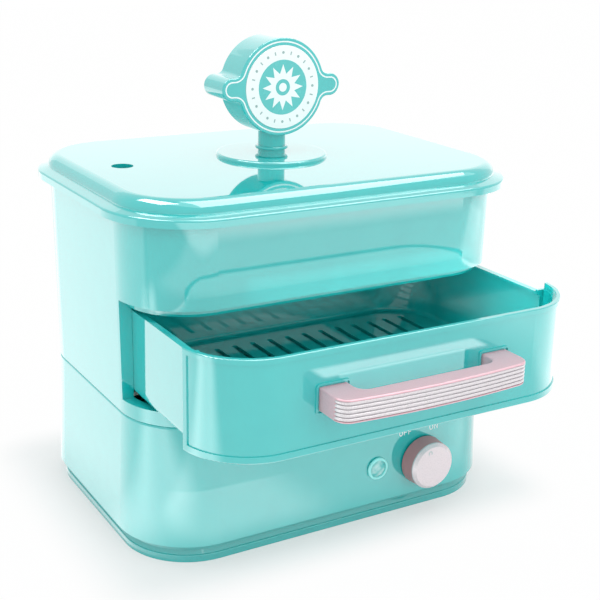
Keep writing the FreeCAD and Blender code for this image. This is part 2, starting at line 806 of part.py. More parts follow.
def runner_group():
    """Two ledges inside the housing that the tub slides on, and their screws."""
    top = tub_floor_z - seat_gap
    inner = outline(sill_z, wall)[0] - fit_gap
    end = body_half_depth - body_corner
    start = max(jamb_y + wall + seat_gap, -end)
    step = (end - start) / runner_screws_each
    leg = box(inner - runner_thick, inner, start, end, top - runner_leg, top)
    ledge = box(inner - runner_ledge, inner, start, end, top - runner_thick, top)
    runner = union([leg, ledge])
    screws = []
    for n in range(runner_screws_each):
        y = start + (n + 0.5) * step
        z = top - runner_leg + screw_radius * 2
        inside = V(inner - runner_thick, y, z)
        hole = Part.makeCylinder(screw_radius / 2 + fit_gap, runner_thick, inside, V(1, 0, 0))
        shank = Part.makeCylinder(screw_radius / 2, runner_thick, inside, V(1, 0, 0))
        head = Part.makeCylinder(screw_radius, runner_thick / 2, inside, V(-1, 0, 0))
        runner = runner.cut(hole)
        screws.append(union([shank, head]))
    mirrored = [item.mirror(V(0, 0, 0), V(1, 0, 0)) for item in screws]
    save("drawer_runner_right", runner)
    save("drawer_runner_left", runner.mirror(V(0, 0, 0), V(1, 0, 0)))
    save("runner_screws", *screws, *mirrored)


def open_drawer(shape):
    """Moves a drawer piece from shut to the pulled-out rest position."""
    moved = shape.copy()
    moved.translate(V(0, -drawer_open, 0))
    return moved


def handle_places():
    """Middle of each handle foot across the drawer."""
    middle = handle_half_width - handle_foot_width / 2
    return (-middle, middle)


def drawer_front():
    """The panel that wraps both front corners, its border bead and escutcheons."""
    z0 = sill_z + panel_bottom_gap
    z1 = head_z - panel_top_gap
    mid = drawer_mid_z
    reach = lid_half_width + cut_over
    front = front_face(seam_z) - cut_over
    back = jamb_y - panel_jamb_gap

    def wrap(low, high, outer, inner, back_y):
        """A curved strip between two insets of the body's outline."""
        strip = upright_block(low, high, outer, mid).cut(upright_block(low, high, inner, mid))
        return strip.common(box(-reach, reach, front, back_y, low, high))

    panel = wrap(z0, z1, panel_inset, panel_inset + panel_thick, back)
    ends = [edge for edge in panel.Edges if outer_edge(edge, z0, z1, back, mid)]
    panel = panel.makeFillet(edge_round, ends)
    field = wrap(z0 + panel_border, z1 - panel_top_border, panel_inset - cut_over,
                 panel_inset + panel_groove, back - panel_border)
    panel = panel.cut(field)

    face = front_face(mid, panel_inset + panel_groove)
    inner = front_face(mid, panel_inset + panel_thick)
    handle_z = sill_z + handle_above_sill
    extra = []
    for x in handle_places():
        half_x = handle_foot_width / 2 + escutcheon_border
        half_z = handle_height / 2 + escutcheon_border
        plate = box(x - half_x, x + half_x, face - escutcheon_proud, face,
                    handle_z - half_z, handle_z + half_z)
        upright = [edge for edge in plate.Edges if edge.BoundBox.YLength > escutcheon_proud / 2]
        plate = plate.makeFillet(escutcheon_border, upright)
        seat_x = half_x - escutcheon_line
        seat_z = half_z - escutcheon_line
        seat = box(x - seat_x, x + seat_x, face - cut_over, face, handle_z - seat_z, handle_z + seat_z)
        upright = [edge for edge in seat.Edges if edge.BoundBox.YLength > escutcheon_proud]
        extra.append(plate.cut(seat.makeFillet(escutcheon_line, upright)))
    panel = union([panel] + extra)
    for x in handle_places():
        panel = panel.cut(pin_y(x, handle_z, screw_radius + fit_gap, face - cut_over, inner + cut_over))
    save("drawer_front", open_drawer(panel))


def outer_edge(edge, z0, z1, back, mid):
    """Whether an edge of the panel lies on its outside, along the top, the bottom or the back."""
    near = fit_gap
    box_of = edge.BoundBox
    flat = box_of.ZLength < near and min(abs(box_of.ZMin - z0), abs(box_of.ZMin - z1)) < near
    half_x, half_y, radius = outline(mid, panel_inset)
    point = edge.valueAt((edge.FirstParameter + edge.LastParameter) / 2)
    dx = abs(point.x) - (half_x - radius)
    dy = abs(point.y) - (half_y - radius)
    if dx > 0 and dy > 0:
        outside = abs(math.hypot(dx, dy) - radius) < near
    else:
        outside = abs(abs(point.x) - half_x) < near or abs(abs(point.y) - half_y) < near
    upright = box_of.ZLength > near and abs(box_of.YMin - back) < near and abs(box_of.YMax - back) < near
    return outside and (flat or upright)


def drawer_tub():
    """The tub: rounded walls, slotted floor, a rim, and a wider front that lines the panel."""
    mid = drawer_mid_z
    back = jamb_y - panel_jamb_gap
    lining = panel_inset + panel_thick
    front_top = tub_top_z + tub_front_rise
    reach = lid_half_width + cut_over
    front = front_face(seam_z) - cut_over

    def hollow(low, high, inset, rounding, back_y):
        """An upright block with its lower edges rounded, kept in front of back_y."""
        block = upright_block(low, high, inset, mid)
        block = block.makeFillet(rounding, edges_at(block, low))
        return block.common(box(-reach, reach, front, back_y, low, high))

    floor = tub_floor_z + tub_floor
    inner_round = tub_corner_round - tub_wall / 2
    tub = union([hollow(tub_floor_z, tub_top_z, tub_inset, tub_corner_round, reach),
                 hollow(tub_floor_z, front_top, lining, tub_corner_round, back)])
    tub = tub.cut(hollow(floor, head_z, tub_inset + tub_wall, inner_round, reach))
    tub = tub.cut(hollow(floor, head_z, lining + tub_wall, inner_round, back - tub_wall))
    rim_z = tub_top_z - tub_rim_thick
    ring = upright_block(rim_z, front_top, tub_inset, mid).cut(
        upright_block(rim_z, front_top, tub_inset + tub_rim_width, mid))
    rim = ring.common(box(-reach, reach, back - tub_wall, reach, rim_z, tub_top_z))
    sweep = ring.common(box(-reach, reach, back - tub_wall, back + tub_front_rise, rim_z, front_top))
    sweep = sweep.cut(Part.makeCylinder(tub_front_rise, reach * 2,
                                        V(-reach, back + tub_front_rise, front_top), V(1, 0, 0)))
    tub = union([tub, rim, sweep])
    half_x, half_y, _ = outline(mid, tub_inset + tub_wall + tub_slot_margin)
    tub = tub.cut(slot_grid(half_x, half_y, tub_slot_columns, tub_slot_rows, tub_slot_width,
                            tub_slot_length, tub_floor_z - cut_over, tub_floor_z + cut_over))
    handle_z = sill_z + handle_above_sill
    outer = front_face(mid, lining)
    for x in handle_places():
        tub = tub.cut(pin_y(x, handle_z, screw_radius + fit_gap, outer - wall, outer + cut_over))
    save("drawer_tub", open_drawer(tub))


def handle_block(sink, z0, z1):
    """An upright solid on the handle's outline seen from above, drawn in by sink."""
    half = handle_half_width - sink
    corner = handle_corner_depth - sink
    left, right = V(-half, -corner, z0), V(half, -corner, z0)
    edges = [
        Part.Arc(left, V(0, sink - handle_bow_depth, z0), right).toShape(),
        Part.LineSegment(right, V(half, 0, z0)).toShape(),
        Part.LineSegment(V(half, 0, z0), V(-half, 0, z0)).toShape(),
        Part.LineSegment(V(-half, 0, z0), left).toShape()]
    solid = Part.Face(Part.Wire(edges)).extrude(V(0, 0, z1 - z0))
    upright = [edge for edge in solid.Edges
               if edge.BoundBox.ZLength > fit_gap and edge.BoundBox.YMax < -corner / 2]
    return solid.makeFillet(handle_corner - sink, upright)


def trim_strip(block):
    """What a block has in front of the strip's seat on the handle."""
    seat = handle_block(trim_thick, -cut_over, handle_height + cut_over)
    reach = handle_half_width + cut_over
    front = -handle_bow_depth - cut_over
    ahead = box(-reach, reach, front, -trim_start, -cut_over, handle_height + cut_over)
    return block.cut(seat).common(ahead)


def handle_frame():
    """Y of the drawer's face and Z of the handle's underside."""
    face = front_face(drawer_mid_z, panel_inset + panel_groove)
    return face, sill_z + handle_above_sill - handle_height / 2


def drawer_handle():
    """The bowed bar with its two feet, seated in the escutcheons, and its screws."""
    face, low = handle_frame()
    handle_z = low + handle_height / 2
    inner_x = handle_half_width - handle_foot_width
    notch = box(-inner_x, inner_x, -handle_bar_back, cut_over, 0, handle_height)
    deep = [edge for edge in notch.Edges
            if edge.BoundBox.ZLength > fit_gap and edge.BoundBox.YMax < -handle_bar_back / 2]
    bar = handle_block(0, 0, handle_height).cut(notch.makeFillet(handle_inner_round, deep))
    long_edges = [edge for edge in bar.Edges
                  if edge.BoundBox.ZLength < fit_gap and edge.BoundBox.YMin < -fit_gap]
    bar = bar.makeFillet(handle_round, long_edges)
    bar = bar.cut(trim_strip(handle_block(-fit_gap, handle_round, handle_height - handle_round)))
    bar.translate(V(0, face, low))
    screws = []
    inner = front_face(drawer_mid_z, panel_inset + panel_thick + tub_wall)
    for x in handle_places():
        bar = bar.cut(pin_y(x, handle_z, screw_radius + fit_gap, face - handle_bar_back, face))
        length = inner - face + handle_bar_back - edge_round
        item = screw(0, 0, 0, screw_radius, length, screw_head_radius, screw_head_height)
        item.rotate(V(0, 0, 0), V(1, 0, 0), 90)
        item.translate(V(x, inner, handle_z))
        screws.append(open_drawer(item))
    save("drawer_handle", open_drawer(bar))
    save("handle_screws", *screws)


def handle_grip_trim():
    """The ribbed strip let into the front of the handle."""
    face, low = handle_frame()
    pitch = (handle_height - 2 * handle_round) / rib_count
    parts = [handle_block(trim_thick * (1 - trim_base_share), handle_round, handle_height - handle_round)]
    for n in range(rib_count):
        z0 = handle_round + n * pitch + rib_gap / 2
        z1 = handle_round + (n + 1) * pitch - rib_gap / 2
        rib = handle_block(0, z0, z1)
        flat = [edge for edge in rib.Edges
                if edge.BoundBox.ZLength < fit_gap and edge.BoundBox.YMin < -fit_gap]
        parts.append(rib.makeFillet((z1 - z0) * rib_round_share, flat))
    trim = union([trim_strip(part) for part in parts])
    trim.translate(V(0, face, low))
    save("handle_grip_trim", open_drawer(trim))


def bun_tray():
    """The upper tray that hangs in the housing by its rim."""
    top = wall + slide_gap
    bottom = top + tray_draft
    rim_outer = seat_gap
    rim = body_block(housing_top, lid_z, rim_outer)
    tub = Part.makeLoft([
        rounded_wire(*outline(housing_top, bottom), tray_floor_z),
        rounded_wire(*outline(housing_top, top), lid_z)], True, True)
    tub = tub.makeFillet(tub_corner_round, edges_at(tub, tray_floor_z))
    room = Part.makeLoft([
        rounded_wire(*outline(housing_top, bottom + tray_wall), tray_floor_z + tray_wall),
        rounded_wire(*outline(housing_top, top + tray_wall), lid_z + fit_gap)], True, True)
    tray = union([rim, tub]).cut(room)
    half_x, half_y, _ = outline(housing_top, bottom + tray_wall + tray_slot_margin)
    cutter = slot_grid(half_x, half_y, tray_slot_columns, tray_slot_rows, tray_slot_width,
                       tray_slot_length, tray_floor_z - cut_over, tray_floor_z + cut_over)
    save("bun_tray", tray.cut(cutter))


def lid_shell():
    """The lid: rim, sloped shoulder, dome, round platform under the sign, plug ring and steam vent."""
    rim_top = lid_z + lid_rim_height
    dome_x, dome_y = lid_half_width - lid_flange, lid_half_depth - lid_flange
    dome_r = lid_corner - lid_flange
    rim = rounded_block(lid_half_width, lid_half_depth, lid_corner, lid_z, rim_top)
    shoulder = Part.makeLoft([
        rounded_wire(lid_half_width, lid_half_depth, lid_corner, rim_top),
        rounded_wire(dome_x, dome_y, dome_r, rim_top + lid_shoulder_rise)], True, True)
    rim = union([rim, shoulder])
    rim = rim.makeFillet(lid_rim_round, edges_at(rim, rim_top))
    dome = rounded_block(dome_x, dome_y, dome_r, lid_z, lid_top_z)
    dome = dome.makeFillet(lid_dome_round, edges_at(dome, lid_top_z))
    platform = post(0, 0, platform_radius, lid_top_z - wall, platform_z)
    platform = platform.makeFillet(platform_round, edges_at(platform, platform_z))
    plug_inset = wall + slide_gap + tray_wall + slide_gap
    plug = upright_block(lid_z - lid_plug_depth, rim_top, plug_inset, housing_top)
    lid = union([rim, dome, platform, plug])
    core = upright_block(lid_z - lid_plug_depth - cut_over, rim_top, plug_inset + lid_plug_wall,
                         housing_top)
    room = rounded_block(dome_x - wall, dome_y - wall, dome_r - wall, rim_top - wall, lid_top_z - wall)
    room = room.makeFillet(lid_dome_round - wall, edges_at(room, lid_top_z - wall))
    room = room.common(upright_block(lid_z, lid_top_z, plug_inset + lid_plug_wall, housing_top))
    groove_out = rounded_block(lid_half_width - wall, lid_half_depth - wall, lid_corner - wall,
                               lid_z - cut_over, rim_top - wall)
    half_x, half_y, radius = outline(housing_top, -seat_gap)
    groove_in = rounded_block(half_x, half_y, radius, lid_z - cut_over, rim_top - wall)
    under = post(0, 0, platform_radius - wall, lid_top_z - cut_over, platform_z - wall)
    lid = lid.cut(core).cut(room).cut(groove_out.cut(groove_in))
    lid = lid.cut(under.common(post(0, 0, platform_radius, lid_top_z - wall * 2, platform_z)))
    vent_x = vent_from_side - lid_half_width
    lid = lid.cut(post(vent_x, vent_behind_middle, vent_radius, lid_z, lid_top_z + cut_over))
    lid = lid.cut(post(0, 0, knob_screw_radius + seat_gap, lid_z, platform_z + cut_over))
    save("lid_shell", lid)


def sign_group():
    """Stem, collar, sign body, its two badges, and the screw that holds them on the lid."""
    disc = pin_y(0, 0, sign_radius, -sign_half_thick, sign_half_thick)
    flat = lobe_reach - lobe_radius
    bar = box(-flat, flat, -sign_half_thick, sign_half_thick, -lobe_radius, lobe_radius)
    ends = [pin_y(side * flat, 0, lobe_radius, -sign_half_thick, sign_half_thick) for side in (-1, 1)]
    body = union([disc, bar] + ends)
    crease = [edge for edge in body.Edges if edge.BoundBox.YLength > sign_half_thick
              and abs(abs(edge.BoundBox.ZMin) - lobe_radius) < fit_gap
              and abs(edge.BoundBox.XMin) < sign_radius]
    body = body.makeFillet(lobe_fillet, crease)
    rims = [edge for edge in body.Edges if edge.BoundBox.YLength < fit_gap]
    body = body.makeFillet(sign_round, rims)
    body.translate(V(0, 0, sign_z))
    for side in (-1, 1):
        face = side * sign_half_thick
        deep = face - side * badge_sunk
        pocket = pin_y(0, sign_z, badge_radius + fit_gap, min(face, deep), max(face, deep))
        body = body.cut(pocket)
        tip = deep + side * badge_thick
        badge = pin_y(0, sign_z, badge_radius, min(deep, tip), max(deep, tip))
        rim = [edge for edge in badge.Edges
               if abs(edge.BoundBox.YMin - tip) < fit_gap and abs(edge.BoundBox.YMax - tip) < fit_gap
               and edge.BoundBox.XLength > badge_radius]
        badge = badge.makeFillet(badge_thick / 4, rim)
        save("sign_front_badge" if side < 0 else "sign_rear_badge", badge)
    hole_top = platform_z - wall + knob_screw_length + edge_round
    body = body.cut(post(0, 0, knob_screw_radius + fit_gap, platform_z, hole_top))
    save("sign_body", body)

    stem = post(0, 0, stem_radius, platform_z, sign_z)
    stem = stem.cut(pin_y(0, sign_z, sign_radius, -cut_over, cut_over))
    stem = stem.cut(post(0, 0, knob_screw_radius + fit_gap, platform_z, sign_z))
    save("knob_stem", stem)

    z0 = platform_z + collar_rise
    collar = post(0, 0, collar_radius, z0, z0 + collar_thick)
    collar = collar.makeFillet(edge_round, edges_at(collar, z0) + edges_at(collar, z0 + collar_thick))
    save("stem_collar", collar.cut(post(0, 0, stem_radius + fit_gap, z0, z0 + collar_thick)))

    ceiling = platform_z - wall
    washer = post(0, 0, washer_radius, ceiling - washer_thick, ceiling)
    washer = washer.cut(post(0, 0, knob_screw_radius + seat_gap, ceiling - washer_thick, ceiling))
    save("knob_washer", washer)
    length = knob_screw_length + washer_thick
    save("knob_screw", screw(0, 0, ceiling - washer_thick, knob_screw_radius, length,
                             knob_screw_head_radius, knob_screw_head_height))


os.makedirs("parts", exist_ok=True)
base_housing()
base_deck()
base_bottom_cover()
rubber_feet()
bottom_cover_screws()
water_basin()
heating_group()
switch_group()
lamp_group()
outlet_group()
drip_tray()
steam_housing()
runner_group()
drawer_front()
drawer_tub()
drawer_handle()
handle_grip_trim()
bun_tray()
lid_shell()
sign_group()
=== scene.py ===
import json
import math

import bmesh
import bpy
from mathutils import Matrix, Vector


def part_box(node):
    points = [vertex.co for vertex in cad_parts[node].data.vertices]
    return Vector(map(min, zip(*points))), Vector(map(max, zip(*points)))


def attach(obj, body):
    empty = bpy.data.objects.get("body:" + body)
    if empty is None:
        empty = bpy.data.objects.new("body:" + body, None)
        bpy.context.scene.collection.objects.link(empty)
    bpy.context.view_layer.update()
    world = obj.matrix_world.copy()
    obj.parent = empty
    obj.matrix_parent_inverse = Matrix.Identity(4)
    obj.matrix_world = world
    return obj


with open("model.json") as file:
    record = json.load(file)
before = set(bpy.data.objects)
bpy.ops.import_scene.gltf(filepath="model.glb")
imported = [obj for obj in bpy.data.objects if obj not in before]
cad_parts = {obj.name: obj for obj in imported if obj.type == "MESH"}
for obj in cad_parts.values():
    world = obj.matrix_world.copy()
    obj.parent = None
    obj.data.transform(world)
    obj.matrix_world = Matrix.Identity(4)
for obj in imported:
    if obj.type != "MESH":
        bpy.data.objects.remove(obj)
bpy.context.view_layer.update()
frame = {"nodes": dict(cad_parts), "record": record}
MM = 0.001

# Camera, at the photograph's viewing angle
camera_azimuth = -30.68
camera_elevation = 18.34
camera_roll = 1.26
camera_distance = 859.5 * MM
camera_target = Vector((25.4 * MM, 0, 129.1 * MM))
camera_lens = 71.03

# Light levels: 1 is the level at which a colour renders as it is written
world_level = 1.0
backdrop_level = 1.0
# Near the foot the floor's glow drops: painted shade round the foot, which also lets the cast shadow show
# and darkens what mirrors the floor there
floor_glow_in_painted_shade = 0.45
floor_glow_far = 0.98
floor_shade_reach = 50 * MM
foot_half_width = 136.0 * MM
foot_half_depth = 100.0 * MM
floor_reach = 4.0
floor_grey = 0.82
floor_rough = 0.8
floor_ior = 1.2

# Cards facing up that only gloss shows, in metres: name, place, width, depth, level, corner, blur
gloss_cards = (
    ("left_floor_card", (-0.78, 0.7, 0.002), 1.4, 1.7, 0.62, 0.1, 0.1),
    ("left_corner_card", (-0.4, -0.13, 0.002), 0.6, 0.3, 1.6, 0.1, 0.1),
    ("front_floor_card", (0.1, -1.35, 0.002), 4.0, 2.5, 0.14, 0.1, 0.1),
    ("far_floor_card", (0.1, -1.25, 0.002), 4.0, 1.0, 1.3, 0.08, 0.08),
    ("right_floor_card", (1.3, 0.1, 0.002), 2.0, 1.5, 0.75, 0.12, 0.12),
    ("base_left_card", (-0.1, -0.2, 0.002), 0.26, 0.2, 0.8, 0.05, 0.05),
    ("base_front_card", (0.02, -0.23, 0.002), 0.5, 0.26, 0.35, 0.06, 0.06),
    ("base_right_card", (0.2, -0.2, 0.002), 0.16, 0.2, 0.35, 0.05, 0.05),
    ("drawer_card", (0.04, -0.175, 0.178), 0.42, 0.18, 0.5, 0.03, 0.03),
    ("drawer_mouth_card", (0, -0.103, 0.166), 0.255, 0.147, 1.15, 0.036, 0.006),
    ("tub_card", (0.03, -0.04, 0.112), 0.17, 0.1, 0.3, 0.03, 0.03),
    ("handle_card", (0, -0.194, 0.1455), 0.124, 0.02, 2.2, 0.006, 0.006),
)

# Lamps that only gloss shows, in metres: name, place, aim, width, height, level
gloss_lamps = (
    ("handle_back_card", (0, -0.1918, 0.1375), (0, 0, 0.1375), 0.092, 0.013, 1.6),
    ("back_card", (0.9, 1.6, 0.75), (0, 0, 0.2), 3.2, 1.3, 0.3),
    ("overhead_card", (0.35, -0.5, 1.6), (0, 0, 0.2), 2.2, 1.5, 0.8),
    ("overhead_left_lamp", (-0.67, 0.2, 1.5), (-0.67, 0.2, 0), 0.62, 1.0, 8.5),
    ("overhead_right_lamp", (0.5, -0.65, 1.5), (0.5, -0.65, 0), 1.25, 1.7, 3.4),
)

# Soft lamps for the colour itself, which gloss doesn't show: the same, and the degrees of spread
matt_lamps = (
    ("left_softbox", (-1.5, 0.5, 0.8), (0, 0, 0.2), 1.0, 1.0, 0.7, 180),
    ("front_softbox", (0.4, -1.8, 1.0), (0, 0, 0.15), 2.4, 1.6, 0.5, 180),
    ("top_softbox", (0.1, -0.45, 1.25), (0, -0.1, 0.1), 1.2, 0.9, 0.4, 180),
    ("drawer_softbox", (0.03, -0.122, 0.19), (0.03, -0.122, 0.1), 0.2, 0.04, 1.5, 110),
    ("tub_softbox", (0.03, -0.14, 0.14), (0.13, -0.14, 0.14), 0.06, 0.03, 3.6, 120),
    ("tray_softbox", (-0.04, 0.03, 0.231), (-0.04, 0.03, 0), 0.14, 0.1, 1.2, 180),
)

# Sign knob: its outline seen from the front, in metres
sign_disc = 32.3 * MM
sign_reach = 44.5 * MM
lobe_radius = 7.4 * MM
lobe_fillet = 5.0 * MM
keyline_inset = 2.5 * MM
keyline_width = 0.9 * MM
print_rise = 0.06 * MM

# Badge: shares of its radius, and of the disc's for the star
badge_disc_share = 0.66
badge_ring_share = 0.83
star_rays = 12
star_tip_share = 0.84
star_root_share = 0.5
star_hub_share = 0.3
star_eye_share = 0.16
tick_count = 24
tick_dot_share = 0.034
tick_reach_share = 0.05
tick_width_share = 0.03

# Front wall of the base, for the printed words
wall_half_depth = 99.2 * MM
wall_flare = 3.1 * MM
wall_top = 94.0 * MM
wall_height = 81.2 * MM
word_height = 3.7 * MM
word_line = 0.5 * MM
word_gap = 1.4 * MM
switch_words = (("word_off", "OFF", 52.2 * MM, 59.1 * MM), ("word_on", "ON", 76.0 * MM, 58.9 * MM))

# The part of a noise texture's range that its values mostly fill
noise_low = 0.3
noise_high = 0.7

# Small mark on the knob's face
mark_x = -3.5 * MM
mark_z = 10.8 * MM
mark_radius = 1.25 * MM
mark_leg = 0.8 * MM
mark_line = 0.55 * MM

# Letters: lines on a height of 1, and how wide each is
letter_lines = {
    "O": [[(0.36 + 0.36 * math.cos(math.radians(turn)), 0.5 + 0.5 * math.sin(math.radians(turn)))
           for turn in range(0, 360, 15)]],
    "F": [[(0, 0), (0, 1), (0.6, 1)], [(0, 0.52), (0.52, 0.52)]],
    "N": [[(0, 0), (0, 1), (0.68, 0), (0.68, 1)]],
}
letter_widths = {"O": 0.72, "F": 0.6, "N": 0.68}
round_letters = "O"


def make_camera():
    """The camera, aimed at the object with the photograph's roll."""
    data = bpy.data.cameras.new("camera")
    data.sensor_width = 36
    data.lens = camera_lens
    data.clip_start = 0.01
    camera = bpy.data.objects.new("camera", data)
    bpy.context.scene.collection.objects.link(camera)
    azimuth, elevation = math.radians(camera_azimuth), math.radians(camera_elevation)
    back = Vector((math.sin(azimuth) * math.cos(elevation),
                   -math.cos(azimuth) * math.cos(elevation), math.sin(elevation)))
    turn = back.to_track_quat("Z", "Y").to_matrix().to_4x4()
    roll = Matrix.Rotation(math.radians(camera_roll), 4, "Z")
    camera.matrix_world = Matrix.Translation(camera_target + back * camera_distance) @ turn @ roll
    bpy.context.scene.camera = camera


def area_light(name, place, aim, width, height, level, cone):
    """A soft light; level is its own brightness and cone the degrees it spreads over."""
    data = bpy.data.lights.new(name, "AREA")
    data.shape = "RECTANGLE"
    data.size = width
    data.size_y = height
    data.energy = level * math.pi * width * height
    data.spread = math.radians(cone)
    light = bpy.data.objects.new(name, data)
    bpy.context.scene.collection.objects.link(light)
    direction = Vector(aim) - Vector(place)
    turn = direction.to_track_quat("-Z", "Y").to_matrix().to_4x4()
    light.matrix_world = Matrix.Translation(place) @ turn
    light.visible_camera = False
    return light


def past_rectangle(tree, place, centre, half_width, half_depth):
    """How far a place lies outside a level rectangle, in metres."""
    value = place
    for operation, amount in (("SUBTRACT", centre), ("ABSOLUTE", None),
                              ("SUBTRACT", (half_width, half_depth, 0)), ("MAXIMUM", (0, 0, 0))):
        step = tree.nodes.new("ShaderNodeVectorMath")
        step.operation = operation
        tree.links.new(value, step.inputs[0])
        if amount is not None:
            step.inputs[1].default_value = amount
        value = step.outputs["Vector"]
    length = tree.nodes.new("ShaderNodeVectorMath")
    length.operation = "LENGTH"
    tree.links.new(value, length.inputs[0])
    return length.outputs["Value"]


def smooth_step(tree, value, start, end, near, far):
    """Goes smoothly from near at start to far at end."""
    fade = tree.nodes.new("ShaderNodeMapRange")
    fade.interpolation_type = "SMOOTHSTEP"
    fade.inputs["From Min"].default_value = start
    fade.inputs["From Max"].default_value = end
    fade.inputs["To Min"].default_value = near
    fade.inputs["To Max"].default_value = far
    tree.links.new(value, fade.inputs["Value"])
    return fade.outputs["Result"]


def soft_card(name, place, width, depth, level, corner, blur):
    """A level card facing up that only gloss shows, with round corners and a blurred edge."""
    light = area_light(name, place, (place[0], place[1], place[2] + 1), width, depth, level, 180)
    light.visible_diffuse = False
    light.data.use_nodes = True
    tree = light.data.node_tree
    where = tree.nodes.new("ShaderNodeNewGeometry")
    past = past_rectangle(tree, where.outputs["Position"], place, width / 2 - corner, depth / 2 - corner)
    shine = smooth_step(tree, past, corner - blur, corner, 1, 0)
    tree.links.new(shine, tree.nodes["Emission"].inputs["Strength"])


def make_lights():
    """All cards and lamps of the tables."""
    for settings in gloss_cards:
        soft_card(*settings)
    for settings in gloss_lamps:
        area_light(*settings, 180).visible_diffuse = False
    for settings in matt_lamps:
        area_light(*settings).visible_glossy = False


def seen_ray(tree):
    """1 for the camera's rays and for what gloss and glass show, else 0."""
    path = tree.nodes.new("ShaderNodeLightPath")
    either = tree.nodes.new("ShaderNodeMath")
    either.operation = "MAXIMUM"
    tree.links.new(path.outputs["Is Camera Ray"], either.inputs[0])
    tree.links.new(path.outputs["Is Glossy Ray"], either.inputs[1])
    with_glass = tree.nodes.new("ShaderNodeMath")
    with_glass.operation = "MAXIMUM"
    tree.links.new(either.outputs[0], with_glass.inputs[0])
    tree.links.new(path.outputs["Is Transmission Ray"], with_glass.inputs[1])
    return with_glass.outputs[0]


def make_world():
    """White surroundings: plain level as light, white where the camera or gloss sees them."""
    world = bpy.data.worlds.new("studio")
    bpy.context.scene.world = world
    world.use_nodes = True
    tree = world.node_tree
    tree.nodes.clear()
    out = tree.nodes.new("ShaderNodeOutputWorld")
    light = tree.nodes.new("ShaderNodeBackground")
    seen = tree.nodes.new("ShaderNodeBackground")
    light.inputs["Color"].default_value = (1, 1, 1, 1)
    light.inputs["Strength"].default_value = world_level
    seen.inputs["Color"].default_value = (1, 1, 1, 1)
    seen.inputs["Strength"].default_value = backdrop_level
    mix = tree.nodes.new("ShaderNodeMixShader")
    tree.links.new(seen_ray(tree), mix.inputs[0])
    tree.links.new(light.outputs[0], mix.inputs[1])
    tree.links.new(seen.outputs[0], mix.inputs[2])
    tree.links.new(mix.outputs[0], out.inputs["Surface"])


def colour(red, green, blue):
    """Linear colour of an sRGB one given in 0 to 255."""
    linear = []
    for value in (red, green, blue):
        share = value / 255
        linear.append(share / 12.92 if share <= 0.04045 else ((share + 0.055) / 1.055) ** 2.4)
    return (*linear, 1)


def new_material(name, **settings):
    """A material with one Principled shader, and its tree and shader."""
    material = bpy.data.materials.new(name)
    material.use_nodes = True
    tree = material.node_tree
    shader = tree.nodes["Principled BSDF"]
    for socket, value in settings.items():
        shader.inputs[socket.replace("_", " ")].default_value = value
    return material, tree, shader


def mesh_piece(name, bm, material, body):
    """A finished piece from a bmesh: its material and the body it rides on."""
    mesh = bpy.data.meshes.new(name)
    bmesh.ops.recalc_face_normals(bm, faces=bm.faces)
    bm.to_mesh(mesh)
    bm.free()
    mesh.materials.append(material)
    piece = bpy.data.objects.new(name, mesh)
    bpy.context.scene.collection.objects.link(piece)
    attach(piece, body)
    return piece


def band(bm, outer, inner, place, low, high):
    """A closed flat band between two loops; place turns a point and a height into a vertex."""
    count = len(outer)
    rings = [[bm.verts.new(place(point, rise)) for point in loop]
             for loop, rise in ((outer, low), (outer, high), (inner, high), (inner, low))]
    for first, second in zip(rings, rings[1:] + rings[:1]):
        for index in range(count):
            after = (index + 1) % count
            bm.faces.new((first[index], first[after], second[after], second[index]))


def plate(bm, loop, place, low, high):
    """A closed flat plate on one loop of points."""
    under = [bm.verts.new(place(point, low)) for point in loop]
    over = [bm.verts.new(place(point, high)) for point in loop]
    bm.faces.new(under)
    bm.faces.new(over)
    for index in range(len(loop)):
        after = (index + 1) % len(loop)
        bm.faces.new((under[index], under[after], over[after], over[index]))


def arc(centre, radius, start, end, steps):
    """Points on an arc between two angles in degrees."""
    points = []
    for step in range(steps + 1):
        angle = math.radians(start + (end - start) * step / steps)
        points.append((centre[0] + radius * math.cos(angle), centre[1] + radius * math.sin(angle)))
    return points


def circle(centre, radius, steps=48):
    """A closed ring of points."""
    return arc(centre, radius, 0, 360, steps)[:-1]


def stroke(bm, points, width, place, low, high, closed=False):
    """A closed flat stroke of even width along a line of points."""
    left, right = [], []
    count = len(points)
    for index, point in enumerate(points):
        before = points[index - 1] if closed or index > 0 else None
        after = points[(index + 1) % count] if closed or index < count - 1 else None
        runs = []
        if before is not None:
            runs.append(Vector((point[0] - before[0], point[1] - before[1])).normalized())
        if after is not None:
            runs.append(Vector((after[0] - point[0], after[1] - point[1])).normalized())
        along = sum(runs, Vector((0, 0))).normalized()
        spread_by = width / 2 / max(along.dot(runs[0]), 0.5)
        side = Vector((-along.y, along.x)) * spread_by
        left.append((point[0] + side.x, point[1] + side.y))
        right.append((point[0] - side.x, point[1] - side.y))
    if closed:
        band(bm, left, right, place, low, high)
    else:
        plate(bm, left + right[::-1], place, low, high)


def sign_outline(inset):
    """The sign's outline drawn in by inset: a disc with a lobe at each side and soft creases."""
    disc = sign_disc - inset
    lobe = lobe_radius - inset
    fillet = lobe_fillet + inset
    fillet_x = math.sqrt((disc + fillet) ** 2 - (lobe + fillet) ** 2)
    turn = math.degrees(math.atan2(lobe + fillet, fillet_x))
    lobe_x = sign_reach - lobe_radius
    upper = arc((lobe_x, 0), lobe, 0, 90, 10)
    upper += arc((fillet_x, lobe + fillet), fillet, 270, 180 + turn, 8)
    upper += arc((0, 0), disc, turn, 180 - turn, 48)
    upper += arc((-fillet_x, lobe + fillet), fillet, 360 - turn, 270, 8)
    upper += arc((-lobe_x, 0), lobe, 90, 180, 10)
    lower = [(x, -z) for x, z in reversed(upper[1:-1])]
    return upper + lower


